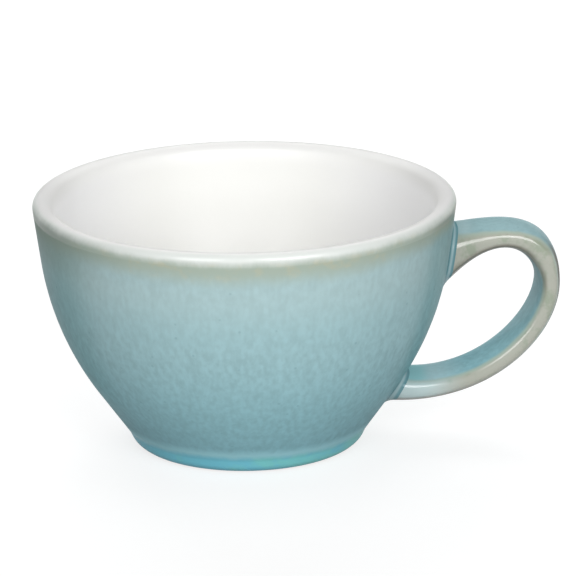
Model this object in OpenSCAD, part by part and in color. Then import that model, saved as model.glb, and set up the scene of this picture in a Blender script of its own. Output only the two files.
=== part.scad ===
// Glazed stoneware cappuccino cup with a strap handle.
// Z is the axis of the bowl, the foot stands on z = 0 and the handle points along +X.
// A thrown bowl and a pressed strap are joined with slip, and thin glaze coats cover both.

/* [Bowl] */
// Outside diameter at the rim
rim_d = 96; // [88:1:106]
// Height from the table to the top of the lip
cup_h = 57.8; // [53:0.2:65]
// Finished thickness of the wall, which the lip rounds over
wall_t = 3.4; // [2.8:0.1:4.6]
// Lean of the upper wall from upright, in degrees
upper_lean = 7.4; // [5:0.1:10]
// Lean of the lower wall from upright, in degrees
lower_lean = 34.8; // [32:0.1:38]
// Radius of the belly between the upper and the lower wall
belly_r = 68; // [50:1:80]
// Height of the floor inside the cup
floor_z = 7; // [6:0.1:9]
// Radius of the curve between the wall and the floor inside
floor_r = 20; // [10:0.5:24]

/* [Foot] */
// Outside diameter of the flat ring that the cup stands on
foot_d = 47.6; // [44:0.2:52]
// Inside diameter of that ring
foot_bore_d = 41; // [36:0.5:43]
// Rounding of the foot's outer edge
foot_edge_r = 3.5; // [2.5:0.1:4.5]
// Lean of the foot's side from upright, in degrees
foot_lean = 24; // [16:1:30]
// Height at which the foot's side meets the lower wall
foot_h = 3.4; // [2.8:0.1:4.4]
// Radius of the hollow where the foot's side meets the lower wall
foot_hollow_r = 4; // [1:0.5:8]
// Depth of the recess under the floor
recess_h = 2.2; // [1.5:0.1:3]
// Lean of the recess wall from upright, in degrees
recess_lean = 30; // [10:1:45]
// Radius of the curve between the recess wall and its ceiling
recess_r = 1.5; // [0.5:0.1:2.5]

/* [Handle] */
// How far the handle stands out past the rim
handle_out = 24; // [20:0.2:30]
// Height of the handle's outermost point
handle_mid_z = 35.5; // [33:0.5:38]
// Width of the strap
strap_w = 13.6; // [10:0.2:17]
// Thickness of the strap at its outermost point
strap_t = 5.2; // [4:0.1:7]
// Fullness of the strap's section: 2 is an oval, more is squarer
strap_fullness = 2.8; // [2.2:0.1:3.6]
// Drop from the top of the lip to the strap's upper face at the wall
upper_root_drop = 9; // [8:0.1:12]
// Height of the strap where its upper end meets the wall
upper_root_h = 13.6; // [10:0.1:15]
// Height of the strap's underside where its lower end meets the wall
lower_root_z = 8.5; // [8:0.1:11]
// Height of the strap where its lower end meets the wall
lower_root_h = 6.3; // [5:0.1:8]
// Rise of the upper face as it leaves the wall, in degrees
upper_face_rise = 5; // [0:1:15]
// Rise of the face under the upper end as it leaves the wall, in degrees
under_face_rise = 48; // [35:1:55]
// Fall of the underside as it leaves the wall at the lower end, in degrees
underside_fall = 7; // [0:1:12]
// Fall of the inner face as it leaves the wall at the lower end, in degrees
inner_face_fall = 11; // [0:1:15]
// Pull on the outer edge: upper end, above and below the middle, lower end
outer_pull = [12.4, 16.1, 13.5, 24]; // [4:0.1:26]
// Pull on the inner edge: upper end, above and below the middle, lower end
inner_pull = [23.3, 4, 10.2, 16.7]; // [3:0.1:26]

/* [Joints] */
// Reach of the slip fillet round each end of the handle
slip_fillet = 1.5; // [1:0.1:2.5]
// Thickness of the slip between the strap's end and the wall
slip_t = 0.8; // [0.5:0.1:1.2]

/* [Glaze] */
// Thickness of the glaze coats
glaze_t = 0.35; // [0.2:0.05:0.6]
// Clearance between a coat and the clay under it
bond_gap = 0.02; // [0.01:0.01:0.05]
// Depth of the white liner glaze below the top of the lip, outside
lip_line_drop = 2.9; // [2.2:0.1:4]
// Height of the upper edge of the foot's glaze band
band_z = 5; // [4.6:0.1:5.4]
// Height of the bare clay edge at the foot
bare_h = 0.5; // [0.4:0.1:1]

/* [Hidden] */

clay_colour = "#cfc3ad";
liner_colour = "#f3f2ee";
wall_colour = "#86aeb5";
band_colour = "#5aaec6";
strap_colour = "#a3b3a6";
slip_colour = "#7db9c2";

// Largest distance between a drawn arc and the true one
arc_tol = 0.008;
// Sides of the strap's section, and rings along the strap
strap_sides = 24;
strap_rings = 46;
// Steps across a slip fillet, and rings across the end of the strap
fillet_steps = 5;
end_rings = 3;
// Share of the strap's length, from each end, that bends to the wall's roundness
cope_share = 0.2;

// Depth of the clay's surface under the finished surface
clay_k = glaze_t + bond_gap;
lip_r = wall_t / 2;
lip_centre = rim_d / 2 - lip_r;
upper_normal = [cos(upper_lean), -sin(upper_lean)];
lower_normal = [cos(lower_lean), -sin(lower_lean)];
foot_normal = [cos(foot_lean), -sin(foot_lean)];

// Sharp corners of the finished outside, before they are rounded
lip_corner_r = lip_centre + lip_r * (1 + sin(upper_lean)) / cos(upper_lean);
foot_corner_r = foot_d / 2 + foot_edge_r * (1 - sin(foot_lean)) / cos(foot_lean);
hollow_corner = [foot_corner_r + foot_h * tan(foot_lean), foot_h];
belly_z = (lip_corner_r - cup_h * tan(upper_lean) - hollow_corner.x + foot_h * tan(lower_lean))
    / (tan(lower_lean) - tan(upper_lean));
belly_corner = [lip_corner_r - (cup_h - belly_z) * tan(upper_lean), belly_z];

function unit(v) = v / norm(v);
function reversed(list) = [for (i = [len(list) - 1:-1:0]) list[i]];

// Corner p moved to where two faces meet after each moves in by k
function moved_corner(p, normal_a, normal_b, k) = p - k * (normal_a + normal_b) / (1 + normal_a * normal_b);

// Turn from angle a to angle b the short way round
function turn(a, b) = (b - a + 540) % 360 - 180;

// Points of an arc of radius r that rounds corner p between points a and b
function corner_arc(a, p, b, r) =
    let (
        to_a = unit(a - p),
        to_b = unit(b - p),
        half_angle = acos(to_a * to_b) / 2,
        centre = p + unit(to_a + to_b) * r / sin(half_angle),
        from = p + to_a * r / tan(half_angle) - centre,
        to = p + to_b * r / tan(half_angle) - centre,
        start = atan2(from.y, from.x),
        sweep = turn(start, atan2(to.y, to.x)),
        steps = max(2, ceil(abs(sweep) / (2 * acos(1 - arc_tol / r))))
    )
    [for (i = [0:steps]) centre + r * [cos(start + sweep * i / steps), sin(start + sweep * i / steps)]];

// Outside of the cup, moved in by k, from the table up to the top of the lip
function outer_path(k) =
    let (
        foot = [foot_corner_r - k / cos(foot_lean), 0],
        hollow = moved_corner(hollow_corner, foot_normal, lower_normal, k),
        belly = moved_corner(belly_corner, upper_normal, lower_normal, k),
        lip = [lip_centre + (lip_r - k) * (1 + sin(upper_lean)) / cos(upper_lean), cup_h - k]
    )
    concat(
        corner_arc([0, 0], foot, hollow, foot_edge_r - k),
        corner_arc(foot, hollow, belly, foot_hollow_r + k),
        corner_arc(hollow, belly, lip, belly_r - k),
        corner_arc(belly, lip, [0, cup_h - k], lip_r - k)
    );

// Inside of the cup, moved into the wall by k, from the lip down to the middle of the floor
function inner_path(k) =
    let (
        depth = wall_t - k,
        inside_belly_r = belly_r - depth,
        lip = [lip_centre - (lip_r - k) * (1 - sin(upper_lean)) / cos(upper_lean), cup_h - k],
        belly = moved_corner(belly_corner, upper_normal, lower_normal, depth),
        floor_corner = [belly.x - (belly.y - floor_z + k) * tan(lower_lean), floor_z - k],
        straight = norm(belly - floor_corner) - inside_belly_r * tan((lower_lean - upper_lean) / 2),
        half_angle = (90 + lower_lean) / 2,
        floor_limit = min(straight, floor_corner.x) * tan(half_angle) - 1
    )
    concat(
        corner_arc([2 * rim_d, cup_h - k], lip, belly, lip_r - k),
        corner_arc(lip, belly, floor_corner, inside_belly_r),
        corner_arc(belly, floor_corner, [0, floor_z - k], min(floor_r + k, floor_limit)),
        [[0, floor_z - k]]
    );

// Recess under the floor, moved into the clay by k, from its middle down to height z
function base_path(k, z) =
    let (
        bore_r = foot_bore_d / 2 + k / cos(recess_lean),
        ceiling = recess_h + k,
        edge = [bore_r - z * tan(recess_lean), z],
        corner = [bore_r - ceiling * tan(recess_lean), ceiling]
    )
    concat([[0, ceiling]], corner_arc([0, ceiling], corner, edge, recess_r + k), [edge]);

// Heights and radii of an outside path, for looking up the radius at a height
function radius_table(path) = [for (p = path) [p.y, p.x]];

finished_radius = radius_table(outer_path(0));
bed_radius = radius_table(outer_path(glaze_t));

// Stretch of an outside path between two heights
function between(path, low, high) =
    let (table = radius_table(path))
    concat(
        [[lookup(low, table), low]],
        [for (p = path) if (p.y > low && p.y < high) p],
        [[lookup(high, table), high]]
    );

// Section of a coat on the outside of the cup between two heights
function coat_section(low, high) =
    concat(between(outer_path(0), low, high), reversed(between(outer_path(glaze_t), low, high)));

lip_line_z = cup_h - lip_line_drop;

// Two edges of the handle in the plane of the strap, each a pair of cubic curves
handle_x = rim_d / 2 + handle_out;
upper_root_z = cup_h - upper_root_drop;

function on_wall(z) = [lookup(z, finished_radius), z];

function edge_controls(top, rise, middle, fall, bottom, pull) = [
    top,
    top + pull[0] * [cos(rise), sin(rise)],
    middle + [0, pull[1]],
    middle,
    middle - [0, pull[2]],
    bottom + pull[3] * [cos(fall), -sin(fall)],
    bottom
];

outer_edge = edge_controls(on_wall(upper_root_z), upper_face_rise, [handle_x, handle_mid_z],
    underside_fall, on_wall(lower_root_z), outer_pull);
inner_edge = edge_controls(on_wall(upper_root_z - upper_root_h), under_face_rise,
    [handle_x - strap_t, handle_mid_z], inner_face_fall, on_wall(lower_root_z + lower_root_h), inner_pull);

function cubic(c, first, t) =
    pow(1 - t, 3) * c[first] + 3 * pow(1 - t, 2) * t * c[first + 1]
    + 3 * (1 - t) * t * t * c[first + 2] + pow(t, 3) * c[first + 3];

function on_edge(c, t) = t < 0.5 ? cubic(c, 0, 2 * t) : cubic(c, 3, 2 * t - 1);

// Position along the strap at a distance from its upper end (0) or its lower end (1)
function from_end(end, distance) =
    let (pull = end == 0 ? 0 : 3, share = distance / (3 * (outer_pull[pull] + inner_pull[pull])))
    end == 0 ? share : 1 - share;

function full(c) = sign(c) * pow(abs(c), 2 / strap_fullness);

// How far the round wall stands from the flat end of the strap at (y, z)
function wall_bulge(end, y, z) =
    let (
        a = on_edge(outer_edge, end),
        b = on_edge(inner_edge, end),
        flat_x = b.x + (a.x - b.x) * (z - b.y) / (a.y - b.y)
    )
    sqrt(pow(lookup(z, finished_radius), 2) - y * y) - flat_x;

function cope_weight(t) =
    let (w = max(0, 1 - min(t, 1 - t) / cope_share))
    w * w * (3 - 2 * w);

// Point of the strap at position t and section angle a, moved in by k and drawn in by share
function strap_point(t, a, k, share = 1) =
    let (
        outer = on_edge(outer_edge, t),
        inner = on_edge(inner_edge, t),
        half = (outer - inner) / 2,
        p = (outer + inner) / 2 + half * full(cos(a)) * share * (1 - k / norm(half)),
        y = (strap_w / 2 - k) * full(sin(a)) * share,
        weight = cope_weight(t),
        bulge = weight > 0 ? weight * wall_bulge(round(t), y, p.y) : 0
    )
    [p.x + bulge, y, p.y];

// Point on the wall round one end of the strap, moved out by spread and drawn in by share
function wall_point(end, a, spread, share, table) =
    let (
        outer = on_edge(outer_edge, end),
        inner = on_edge(inner_edge, end),
        half = (outer - inner) / 2,
        z = (outer.y + inner.y) / 2 + half.y * full(cos(a)) * share * (1 + spread / norm(half)),
        y = (strap_w / 2 + spread) * full(sin(a)) * share
    )
    [sqrt(pow(lookup(z, table), 2) - y * y), y, z];

// Section angles, taken the other way round at the lower end so that faces keep pointing out
function section_angles(end = 0) = [for (i = [0:strap_sides - 1]) (end == 0 ? 360 : -360) * i / strap_sides];

function strap_ring(t, k, share = 1, end = 0) = [for (a = section_angles(end)) strap_point(t, a, k, share)];

function wall_ring(end, spread, share, table) =
    [for (a = section_angles(end)) wall_point(end, a, spread, share, table)];

// Ring of a slip fillet, a share of the way from the wall to the strap
function fillet_ring(end, share) =
    [for (a = section_angles(end))
        pow(1 - share, 2) * wall_point(end, a, slip_fillet, 1, finished_radius)
        + 2 * (1 - share) * share * wall_point(end, a, 0, 1, finished_radius)
        + share * share * strap_point(from_end(end, slip_fillet), a, 0)];

// Positions of the strap's rings between a distance from each end
function strap_positions(distance) =
    let (first = from_end(0, distance), last = from_end(1, distance))
    [for (i = [0:strap_rings]) first + (last - first) * i / strap_rings];

// Faces between rings; a closed set of rings joins its last ring to its first
function ring_faces(rings, closed) =
    [for (j = [0:len(rings) - (closed ? 1 : 2)], i = [0:strap_sides - 1], side = [0, 1])
        let (
            next_i = (i + 1) % strap_sides,
            low = j * strap_sides,
            high = (j + 1) % len(rings) * strap_sides
        )
        side == 0 ? [low + i, low + next_i, high + next_i] : [low + i, high + next_i, high + i]];

function all_points(rings) = [for (ring = rings, p = ring) p];

// Solid through a row of rings, closed at both ends round a middle point
module lofted(rings, first_middle, last_middle) {
    count = len(rings) * strap_sides;
    last_low = count - strap_sides;
    first_faces = [for (i = [0:strap_sides - 1]) [count, (i + 1) % strap_sides, i]];
    last_faces = [for (i = [0:strap_sides - 1])
        [count + 1, last_low + i, last_low + (i + 1) % strap_sides]];
    polyhedron(
        concat(all_points(rings), [first_middle, last_middle]),
        concat(ring_faces(rings, false), first_faces, last_faces)
    );
}

// Solid of slip under one end of the strap, with its fillet onto the wall
module slip_solid(end) {
    at_strap = from_end(end, slip_fillet);
    at_end = from_end(end, slip_t);
    bed = [for (i = [1:end_rings]) wall_ring(end, slip_fillet, i / end_rings, bed_radius)];
    fillet = [for (i = [0:fillet_steps]) fillet_ring(end, i / fillet_steps)];
    socket = [strap_ring(at_strap, glaze_t, 1, end)];
    seat = [for (i = [end_rings:-1:1]) strap_ring(at_end, glaze_t, i / end_rings, end)];
    lofted(
        concat(bed, fillet, socket, seat),
        wall_point(end, 0, 0, 0, bed_radius),
        strap_point(at_end, 0, glaze_t, 0)
    );
}

// Opening in the wall coat where a slip joint grips the clay
module slip_window(end) {
    rotate([90, 0, 90])
        linear_extrude(rim_d)
            polygon([for (p = wall_ring(end, slip_fillet + bond_gap, 1, finished_radius)) [p.y, p.z]]);
}

module bowl() {
    color(clay_colour)
        rotate_extrude()
            polygon(concat(base_path(clay_k, 0), outer_path(clay_k), inner_path(clay_k)));
}

module liner_glaze() {
    lip_and_inside = concat(between(outer_path(0), lip_line_z, cup_h), inner_path(0));
    bed = concat(between(outer_path(glaze_t), lip_line_z, cup_h - glaze_t), inner_path(glaze_t));
    color(liner_colour)
        rotate_extrude()
            polygon(concat(lip_and_inside, reversed(bed)));
}

module wall_glaze() {
    color(wall_colour)
        difference() {
            rotate_extrude()
                polygon(coat_section(band_z, lip_line_z));
            slip_window(0);
            slip_window(1);
        }
}

module foot_glaze() {
    color(band_colour)
        rotate_extrude()
            polygon(coat_section(bare_h, band_z));
}

module base_glaze() {
    color(band_colour)
        rotate_extrude()
            polygon(concat(base_path(0, bare_h), reversed(base_path(glaze_t, bare_h))));
}

module handle() {
    end_distance = slip_t + bond_gap;
    ends = [from_end(0, end_distance), from_end(1, end_distance)];
    caps = [for (i = [1:end_rings - 1]) i / end_rings];
    upper_cap = [for (share = caps) strap_ring(ends[0], clay_k, share)];
    lower_cap = [for (share = reversed(caps)) strap_ring(ends[1], clay_k, share)];
    strap = [for (t = strap_positions(slip_fillet)) strap_ring(t, clay_k)];
    color(clay_colour)
        lofted(
            concat(upper_cap, [strap_ring(ends[0], clay_k)], strap, [strap_ring(ends[1], clay_k)], lower_cap),
            strap_point(ends[0], 0, clay_k, 0),
            strap_point(ends[1], 0, clay_k, 0)
        );
}

module handle_glaze() {
    positions = strap_positions(slip_fillet + bond_gap);
    outside = [for (t = positions) strap_ring(t, 0)];
    inside = [for (t = reversed(positions)) strap_ring(t, glaze_t)];
    rings = concat(outside, inside);
    color(strap_colour)
        polyhedron(all_points(rings), ring_faces(rings, true));
}

module upper_slip_joint() {
    color(slip_colour)
        slip_solid(0);
}

module lower_slip_joint() {
    color(slip_colour)
        slip_solid(1);
}

bowl();
liner_glaze();
wall_glaze();
foot_glaze();
base_glaze();
handle();
handle_glaze();
upper_slip_joint();
lower_slip_joint();
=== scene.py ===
import math

import bmesh
import bpy
from bpy.props import FloatProperty, FloatVectorProperty, PointerProperty
from mathutils import Matrix, Vector


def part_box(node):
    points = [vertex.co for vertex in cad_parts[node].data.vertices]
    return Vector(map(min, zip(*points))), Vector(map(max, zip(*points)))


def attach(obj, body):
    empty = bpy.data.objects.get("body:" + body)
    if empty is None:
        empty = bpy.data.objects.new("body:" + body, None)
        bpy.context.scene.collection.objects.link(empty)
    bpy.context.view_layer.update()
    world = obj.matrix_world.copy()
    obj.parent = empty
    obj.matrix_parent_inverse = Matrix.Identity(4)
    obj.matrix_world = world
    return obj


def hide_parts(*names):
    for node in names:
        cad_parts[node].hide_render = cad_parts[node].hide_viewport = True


bl_info = {
    "name": "Glazed Cappuccino Cup",
    "version": (1, 0, 0),
    "blender": (4, 5, 0),
    "location": "3D View > Sidebar > Cup",
    "description": "Models the glaze coats of a stoneware cup on its clay and sets a plain studio round it",
    "category": "Object",
}

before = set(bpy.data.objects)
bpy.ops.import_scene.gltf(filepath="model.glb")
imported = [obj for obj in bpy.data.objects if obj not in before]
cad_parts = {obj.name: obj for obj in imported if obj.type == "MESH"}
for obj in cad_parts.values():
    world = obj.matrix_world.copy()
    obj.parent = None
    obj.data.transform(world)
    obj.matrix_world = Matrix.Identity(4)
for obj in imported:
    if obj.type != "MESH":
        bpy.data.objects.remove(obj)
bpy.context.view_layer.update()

# Sizes that the packed clay and coats already have, in metres
RIM_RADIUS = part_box("liner_glaze")[1].x
CUP_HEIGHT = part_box("liner_glaze")[1].z
LIP_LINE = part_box("wall_glaze")[1].z
BAND_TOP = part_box("foot_glaze")[1].z
BARE_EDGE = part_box("foot_glaze")[0].z
HANDLE_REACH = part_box("handle_glaze")[1].x
STRAP_HALF_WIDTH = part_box("handle_glaze")[1].y

# Fineness of the meshes
TURN_STEPS = 160
ARC_TOLERANCE = 0.000003
LONGEST_STEP = 0.0012
SECTION_SIDES = 56
SECTION_TURNS = [math.tau * side / SECTION_SIDES for side in range(SECTION_SIDES)]
STRAP_RINGS = 96
FILLET_RINGS = 8
MERGE_DISTANCE = 0.000001
CREASE_ANGLE = math.radians(40)

# How much smaller the curve round the floor inside stays than the largest that fits, in metres
CURVE_CLEARANCE = 0.001

# Stage in metres, and the camera's sensor in millimetres
LAMP_DISTANCE = 1.1
LAMP_LENGTH = 0.55
LAMP_WIDTH = 0.6
LEFT_LAMP_WIDTH = 0.45
FLOOR_RADIUS = 6.0
FLOOR_SIDES = 64
FLOOR_GAP = 0.00005
GLOW_RANGE = (0.25, 0.9)
BACKDROP_HEIGHT = 0.9
SENSOR_WIDTH = 36
CLIP_START = 0.01


def number(name, text, default, **limits):
    """Property that holds a plain number."""
    return FloatProperty(name=name, description=text, default=default, **limits)


def length(name, text, default):
    """Property that holds a length in metres."""
    return number(name, text, default, min=0.0, precision=5, unit="LENGTH")


def lengths(name, text, *defaults):
    """Property that holds a row of lengths in metres."""
    return FloatVectorProperty(name=name, description=text, unit="LENGTH",
                               size=len(defaults), default=defaults)


def angle(name, text, degrees):
    """Property that holds an angle, written in degrees."""
    return number(name, text, math.radians(degrees), subtype="ANGLE")


def linear(level):
    """Linear value of a display level from 0 to 255."""
    share = level / 255
    return share / 12.92 if share <= 0.04045 else ((share + 0.055) / 1.055) ** 2.4


def colour(name, text, red, green, blue):
    """Property that holds a colour, written as display levels from 0 to 255."""
    return FloatVectorProperty(name=name, description=text, subtype="COLOR", size=3, min=0.0, max=1.0,
                               default=(linear(red), linear(green), linear(blue)))


class CupBowlSizes(bpy.types.PropertyGroup):
    """Sizes of the bowl and its foot."""

    rim_radius: length("Rim radius", "Outside radius of the bowl at the rim", RIM_RADIUS)
    height: length("Height", "From the table to the top of the lip", CUP_HEIGHT)
    wall: length("Wall", "Finished thickness of the wall", 0.0034)
    upper_lean: angle("Upper lean", "Lean of the upper wall from upright", 7.4)
    lower_lean: angle("Lower lean", "Lean of the lower wall from upright", 34.8)
    lip_roll: length("Lip roll", "How far the lip swells into the bowl", 0.0013)
    roll_depth: length("Roll depth", "Depth over which that swelling dies away", 0.020)
    belly_radius: length("Belly radius", "Curve between the upper and the lower wall", 0.068)
    floor_height: length("Floor height", "Height of the floor inside", 0.007)
    floor_radius: length("Floor radius", "Curve between the wall and the floor inside", 0.020)
    foot_radius: length("Foot radius", "Outside radius of the ring that the cup stands on", 0.0238)
    foot_bore: length("Foot bore", "Inside radius of that ring", 0.0205)
    foot_edge: length("Foot edge", "Rounding of the foot's outer edge", 0.0035)
    foot_lean: angle("Foot lean", "Lean of the foot's side from upright", 24)
    foot_height: length("Foot height", "Where the foot's side meets the lower wall", 0.0034)
    foot_hollow: length("Foot hollow", "Curve where the foot's side meets the lower wall", 0.004)
    recess_height: length("Recess height", "Depth of the recess under the floor", 0.0022)
    recess_lean: angle("Recess lean", "Lean of the recess wall from upright", 30)
    recess_radius: length("Recess radius", "Curve between the recess wall and its ceiling", 0.0015)


class CupHandleSizes(bpy.types.PropertyGroup):
    """Sizes of the handle and of its joints."""

    reach: length("Reach", "From the axis of the bowl to the outermost point", HANDLE_REACH)
    middle: length("Middle", "Height of the outermost point", 0.0355)
    half_width: length("Half width", "Half the width of the strap", STRAP_HALF_WIDTH)
    thickness: length("Thickness", "Thickness of the strap at its outermost point", 0.0052)
    fullness: number("Fullness", "Squareness of the strap's section, where 2 is an oval", 2.8, min=2.0)
    upper_root: length("Upper root", "Height of the upper face at the wall", 0.0488)
    upper_root_height: length("Upper root height", "Height of the strap at its upper end", 0.0136)
    lower_root: length("Lower root", "Height of the underside at the wall", 0.0085)
    lower_root_height: length("Lower root height", "Height of the strap at its lower end", 0.0063)
    upper_rise: angle("Upper rise", "Rise of the upper face as it leaves the wall", 5)
    under_rise: angle("Under rise", "Rise of the face under the upper end as it leaves the wall", 48)
    underside_fall: angle("Underside fall", "Fall of the underside as it leaves the wall", 7)
    inner_fall: angle("Inner fall", "Fall of the inner face as it leaves the wall below", 11)
    outer_pull: lengths("Outer pull", "Pull on the outer edge's curves, from the top",
                        0.0124, 0.0161, 0.0135, 0.0240)
    inner_pull: lengths("Inner pull", "Pull on the inner edge's curves, from the top",
                        0.0233, 0.0040, 0.0102, 0.0167)
    upper_fillet: length("Upper fillet", "Reach of the slip fillet round the upper end", 0.0021)
    lower_fillet: length("Lower fillet", "Reach of the slip fillet round the lower end", 0.0024)
    flare: length("Flare", "Widening of each side at the upper end", 0.0010)
    flare_length: length("Flare length", "Distance from the wall in which the flare fades", 0.0040)
    fillet_sink: length("Fillet sink", "Bite of the fillet's edge into the wall's coat", 0.00005)
    cope: number("Cope", "Share of the strap, from each end, that bends to the wall", 0.2, min=0.01, max=0.5)


class CupGlazeSizes(bpy.types.PropertyGroup):
    """Thickness and borders of the glaze coats."""

    coat: length("Coat", "Thickness of the coats", 0.00035)
    lip_line: length("Lip line", "Height where the white liner ends outside", LIP_LINE)
    lip_fade: length("Lip fade", "Height over which the white fades to olive", 0.0022)
    olive_depth: length("Olive depth", "Depth of the olive under the lip line", 0.0056)
    band_top: length("Band top", "Height of the upper edge of the turquoise band", BAND_TOP)
    bare_edge: length("Bare edge", "Height of the bare clay at the foot", BARE_EDGE)
    wave: length("Wave", "How far the borders wander up and down", 0.0006)
    lip_climb: length("Lip climb", "Climb of the white's border towards the cup's sides", 0.0014)
    mottle: length("Mottle", "Width of the mottling in the blue glaze", 0.0012)
    streak: length("Streak", "Width of the upright streaks in the blue glaze", 0.0012)
    cloud: length("Cloud", "Width of the soft clouds in the blue glaze", 0.0028)
    speck: length("Speck", "Spacing of the small specks", 0.0040)
    tone: number("Tone", "Strength of the mottling, streaks and clouds", 0.09)


class CupColours(bpy.types.PropertyGroup):
    """Colours of the clay and the glazes."""

    clay: colour("Clay", "Bare fired clay", 214, 208, 196)
    clay_dark: colour("Dark clay", "Darker grain in the clay", 178, 166, 148)
    white: colour("White", "Liner glaze", 236, 236, 233)
    white_lip: colour("Lip white", "Liner glaze on the lip", 241, 241, 239)
    # Painted light: a lighter white for the inside of the liner towards the cup's sides
    white_side_painted_light: colour("Side white", "Liner glaze inside, beside and opposite the handle", 242, 242, 243)
    # Painted shade: a darker white for the lip towards the cup's sides
    white_lip_end_shade: colour("Lip ends", "Liner glaze on the lip beside and opposite the handle", 220, 220, 219)
    white_cool: colour("Cool white", "Liner glaze where the blue bleeds into it at the lip", 227, 232, 228)
    olive: colour("Olive", "Blue glaze where it is thin", 173, 187, 174)
    # Painted shade: darker olive for the glaze under the lip at the cup's sides, most on the far one
    olive_painted_shade: colour("Dark olive", "Thin glaze at the sides, most on the far one", 148, 166, 155)
    straw: colour("Straw", "Yellow stains in the olive", 190, 190, 164)
    blue: colour("Blue", "Blue glaze on the upper wall", 165, 200, 205)
    blue_deep: colour("Deep blue", "Blue glaze on the lower wall", 153, 201, 210)
    blue_low: colour("Low blue", "Blue glaze just above the turquoise band", 144, 192, 202)
    milky: colour("Milky", "Blue glaze just under the olive", 185, 206, 206)
    blue_pale: colour("Pale blue", "Blue glaze at the ends of the handle", 200, 222, 224)
    # Painted shade: tint of darker upright strips on the wall at the cup's sides
    painted_strip_shade: colour("Run tint", "Tint of the thicker runs at the cup's sides", 228, 241, 241)
    turquoise: colour("Turquoise", "Glaze that ran down and pooled at the foot", 130, 213, 214)
    azure: colour("Azure", "Bluer runs in the pooled glaze", 121, 204, 223)
    turquoise_pale: colour("Pale turquoise", "Upper edge of the pooled glaze", 168, 221, 231)
    pooled: colour("Pooled", "Glaze that pooled at the handle's lower end", 124, 176, 184)
    pooled_deep: colour("Deep pooled", "Glaze that pooled in the handle's joints", 112, 156, 164)
    sand: colour("Sand", "Handle glaze where it broke thin along the sides", 176, 178, 166)
    moss: colour("Moss", "Greener patches along the handle's sides", 150, 162, 142)
    # Umber of the glaze broken at the handle's edges, also used as painted shade on edges that face down or
    # towards the cup
    umber: colour("Umber", "Handle glaze along the edges of its sides", 118, 108, 94)
    speck: colour("Speck", "Small dark specks", 112, 152, 160)


class CupStageSizes(bpy.types.PropertyGroup):
    """Camera, lamps, floor and backdrop."""

    camera_distance: length("Camera distance", "From the axis of the bowl, along the floor", 0.770)
    camera_height: length("Camera height", "Above the table", 0.276145)
    camera_swing: angle("Camera swing", "Bearing of the camera from the handle's broad side", 4)
    camera_yaw: angle("Camera yaw", "Turn of the camera towards the handle", 4.717)
    camera_pitch: angle("Camera pitch", "Tilt of the camera below level", 17.364)
    camera_roll: angle("Camera roll", "Turn of the camera about its own line of sight", -0.701)
    lens: number("Lens", "Focal length of the camera in millimetres", 220.79)
    ambient: number("Ambient", "Even light from all round", 0.08)
    floor: colour("Floor", "Plain pale floor", 150, 150, 150)
    floor_glow: number("Floor glow", "White that is seen round the cup, beside the light", 0.76)
    lamp_height: angle("Lamp height", "Elevation of the front softboxes", 24)
    lamp_spread: angle("Lamp spread", "Bearing of the front softboxes, to either side of the camera", 25)
    left_level: number("Left level", "Light of the left softbox on a white card that faces it", 0.39)
    right_level: number("Right level", "Light of the right softbox on such a card", 0.61)
    fill_height: angle("Fill height", "Elevation of the back softboxes", 38)
    fill_bearing: angle("Fill bearing", "Bearing of the back softboxes from the front", 166)
    fill_level: number("Fill level", "Light of a back softbox on such a card", 0.37)
    top_level: number("Top level", "Light of the overhead softbox on such a card", 0.15)


# Outlines of the bowl, as points of radius and height


def eased(share):
    """Smooth step from 0 to 1."""
    return share * share * (3 - 2 * share)


def corner_arc(before, corner, after, radius):
    """Points of an arc that rounds the corner between the points before and after it."""
    to_before = (before - corner).normalized()
    to_after = (after - corner).normalized()
    half = to_before.angle(to_after) / 2
    centre = corner + (to_before + to_after).normalized() * (radius / math.sin(half))
    start = corner + to_before * (radius / math.tan(half)) - centre
    end = corner + to_after * (radius / math.tan(half)) - centre
    first = math.atan2(start.y, start.x)
    sweep = (math.atan2(end.y, end.x) - first + 3 * math.pi) % math.tau - math.pi
    steps = max(3, math.ceil(abs(sweep) / (2 * math.acos(1 - ARC_TOLERANCE / radius))))
    turns = [first + sweep * step / steps for step in range(steps + 1)]
    return [centre + radius * Vector((math.cos(turn), math.sin(turn))) for turn in turns]


def normal_of(lean):
    """Outward normal of a wall that leans out by an angle as it rises."""
    return Vector((math.cos(lean), -math.sin(lean)))


def moved_corner(corner, one, other, depth):
    """Corner moved to where its two faces meet after each moves in by a depth."""
    return corner - (one + other) * (depth / (1 + one.dot(other)))


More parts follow.
